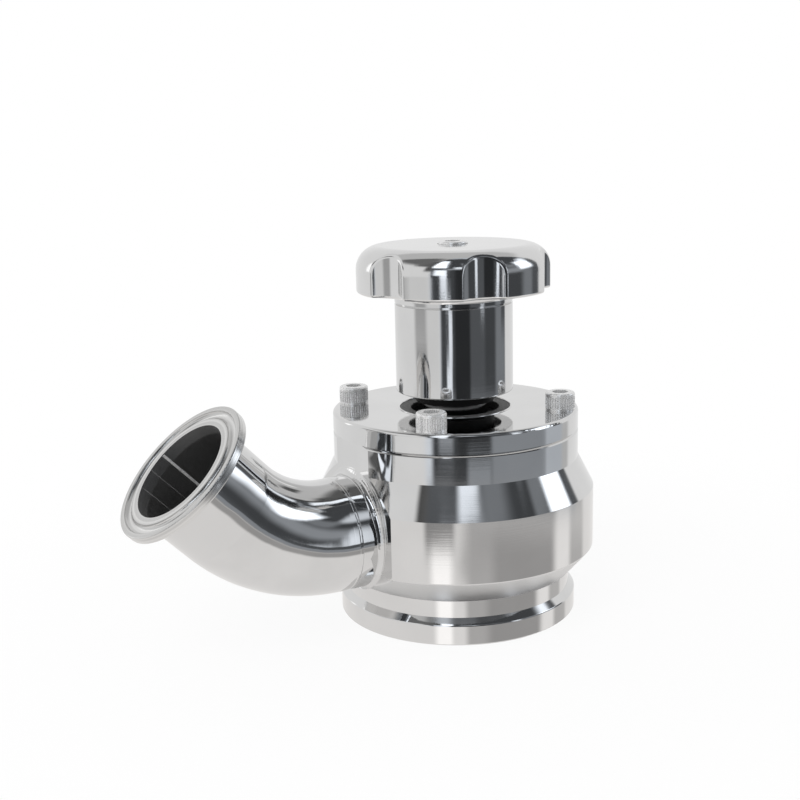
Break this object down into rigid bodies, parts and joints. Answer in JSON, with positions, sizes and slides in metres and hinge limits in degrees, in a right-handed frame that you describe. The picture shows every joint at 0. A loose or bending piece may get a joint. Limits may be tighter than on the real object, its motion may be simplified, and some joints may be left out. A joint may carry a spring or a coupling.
{
  "type": "tank bottom valve",
  "caption": "Manual tank bottom valve: round polished body on a tank flange, bent outlet with a clamp ferrule, and a rising fluted handwheel.",
  "frame": {"origin": "centre of the tank bore in the tank flange's outer face", "axes": "+Z along the valve's axis from the tank flange to the handwheel; the outlet leaves along -X and bends up towards +Z"},
  "size_m": [0.1677, 0.0958, 0.1287],
  "materials": {
    "body_steel": "mirror-polished stainless steel",
    "tube_steel": "mirror-polished stainless tube",
    "bonnet_steel": "mirror-polished stainless steel",
    "wheel_steel": "mirror-polished stainless steel",
    "screw_steel": "stainless cap screws with knurled heads",
    "inner_steel": "turned stainless steel",
    "bronze": "machined bronze",
    "white_elastomer": "smooth white elastomer",
    "black_rubber": "matt black rubber",
    "black_plastic": "satin black plastic"
  },
  "bodies": {
    "housing": {"valve_body": "body_steel", "outlet_elbow": "tube_steel", "outlet_ferrule": "tube_steel", "diaphragm": "white_elastomer", "bonnet_plate": "bonnet_steel", "bonnet_screws": "screw_steel", "bumper_ring": "black_rubber", "stem_nut": "bronze", "stem_nut_pin": "inner_steel", "spindle_seal": "black_rubber"},
    "plunger": {"valve_plug": "inner_steel", "plug_seal": "white_elastomer", "compressor": "inner_steel", "feather_key": "inner_steel", "thrust_pad": "bronze", "retaining_pins": "inner_steel"},
    "handwheel_group": {"spindle": "inner_steel", "skirt_sleeve": "wheel_steel", "guide_bush": "black_plastic", "handwheel": "wheel_steel", "handwheel_screw": "screw_steel"}
  },
  "joints": [
    {"name": "stem_lift", "type": "slide", "parent": "housing", "child": "plunger", "axis": [0, 0, 1], "range_m": [-0.005, 0.005], "deforming": ["diaphragm"]},
    {"name": "handwheel_turn", "type": "hinge", "parent": "plunger", "child": "handwheel_group", "pos_m": [0, 0, 0], "axis": [0, 0, 1], "range_deg": [-600, 600]}
  ],
  "couplings": [
    {"joint": "stem_lift", "follows": "handwheel_turn", "m_per_rad": 0.00047746}
  ]
}
